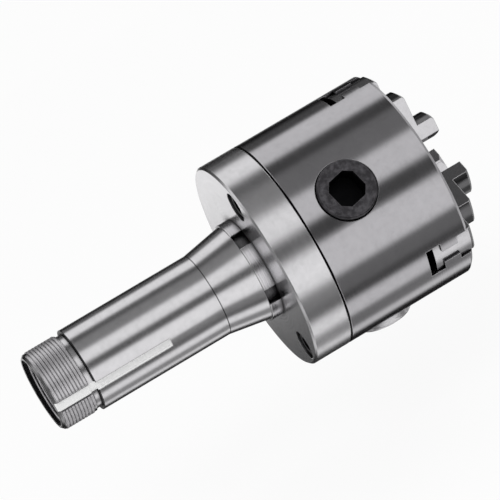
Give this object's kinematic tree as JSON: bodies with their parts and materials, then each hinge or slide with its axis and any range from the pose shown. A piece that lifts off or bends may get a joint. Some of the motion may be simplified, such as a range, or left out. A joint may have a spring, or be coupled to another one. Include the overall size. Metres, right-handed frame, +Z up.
{
  "type": "three-jaw scroll chuck with collet shank",
  "caption": "Self-centring scroll lathe chuck with stepped jaws, square key sockets and a bolted flange on a collet shank with a drawbar thread.",
  "frame": {"origin": "on the spindle axis at the gauge point, where the parallel collet shank meets its head taper", "axes": "+X along the spindle axis towards the jaws, +Z up through jaw 1, right handed"},
  "size_m": [0.1685, 0.0822, 0.0816],
  "materials": {
    "body_steel": "fine turned and ground, satin bright",
    "flange_steel": "fine turned and ground, satin bright",
    "shank_steel": "cylindrically ground, bright",
    "jaw_steel": "hardened and ground",
    "pinion_steel": "black oxide, satin",
    "scroll_steel": "machined and oiled",
    "cover_steel": "turned",
    "screw_steel": "black oxide"
  },
  "bodies": {
    "chuck": {"chuck_body": "body_steel", "back_cover": "cover_steel", "mounting_flange": "flange_steel", "collet_shank": "shank_steel", "mounting_screw_1": "screw_steel", "mounting_screw_2": "screw_steel", "mounting_screw_3": "screw_steel", "cover_screw_1": "screw_steel", "cover_screw_2": "screw_steel", "cover_screw_3": "screw_steel", "pinion_retaining_screw_1": "screw_steel", "pinion_retaining_screw_2": "screw_steel", "pinion_retaining_screw_3": "screw_steel"},
    "scroll": {"scroll_plate": "scroll_steel"},
    "pinion_1": {"pinion_1": "pinion_steel"},
    "jaw_1": {"jaw_1": "jaw_steel"},
    "pinion_2": {"pinion_2": "pinion_steel"},
    "jaw_2": {"jaw_2": "jaw_steel"},
    "pinion_3": {"pinion_3": "pinion_steel"},
    "jaw_3": {"jaw_3": "jaw_steel"}
  },
  "joints": [
    {"name": "scroll_turn", "type": "hinge", "parent": "chuck", "child": "scroll", "pos_m": [0.065, 0, 0], "axis": [1, 0, 0], "range_deg": [-433, 469]},
    {"name": "pinion_1_turn", "type": "hinge", "parent": "chuck", "child": "pinion_1", "pos_m": [0.054, 0, 0], "axis": [0, -0.866, 0.5], "range_deg": [-1873, 1729]},
    {"name": "pinion_2_turn", "type": "hinge", "parent": "chuck", "child": "pinion_2", "pos_m": [0.054, 0, 0], "axis": [0, 0, -1], "range_deg": [-1873, 1729]},
    {"name": "pinion_3_turn", "type": "hinge", "parent": "chuck", "child": "pinion_3", "pos_m": [0.054, 0, 0], "axis": [0, 0.866, 0.5], "range_deg": [-1873, 1729]},
    {"name": "jaw_1_slide", "type": "slide", "parent": "chuck", "child": "jaw_1", "axis": [0, 0, 1], "range_m": [-0.0065, 0.006]},
    {"name": "jaw_2_slide", "type": "slide", "parent": "chuck", "child": "jaw_2", "axis": [0, -0.866, -0.5], "range_m": [-0.00651, 0.00601]},
    {"name": "jaw_3_slide", "type": "slide", "parent": "chuck", "child": "jaw_3", "axis": [0, 0.866, -0.5], "range_m": [-0.00651, 0.00601]}
  ],
  "couplings": [
    {"joint": "scroll_turn", "follows": "jaw_1_slide", "rad_per_m": -1256.6},
    {"joint": "pinion_1_turn", "follows": "jaw_1_slide", "rad_per_m": 5026.5},
    {"joint": "pinion_2_turn", "follows": "jaw_1_slide", "rad_per_m": 5026.5},
    {"joint": "pinion_3_turn", "follows": "jaw_1_slide", "rad_per_m": 5026.5},
    {"joint": "jaw_2_slide", "follows": "jaw_1_slide", "ratio": 1},
    {"joint": "jaw_3_slide", "follows": "jaw_1_slide", "ratio": 1}
  ]
}
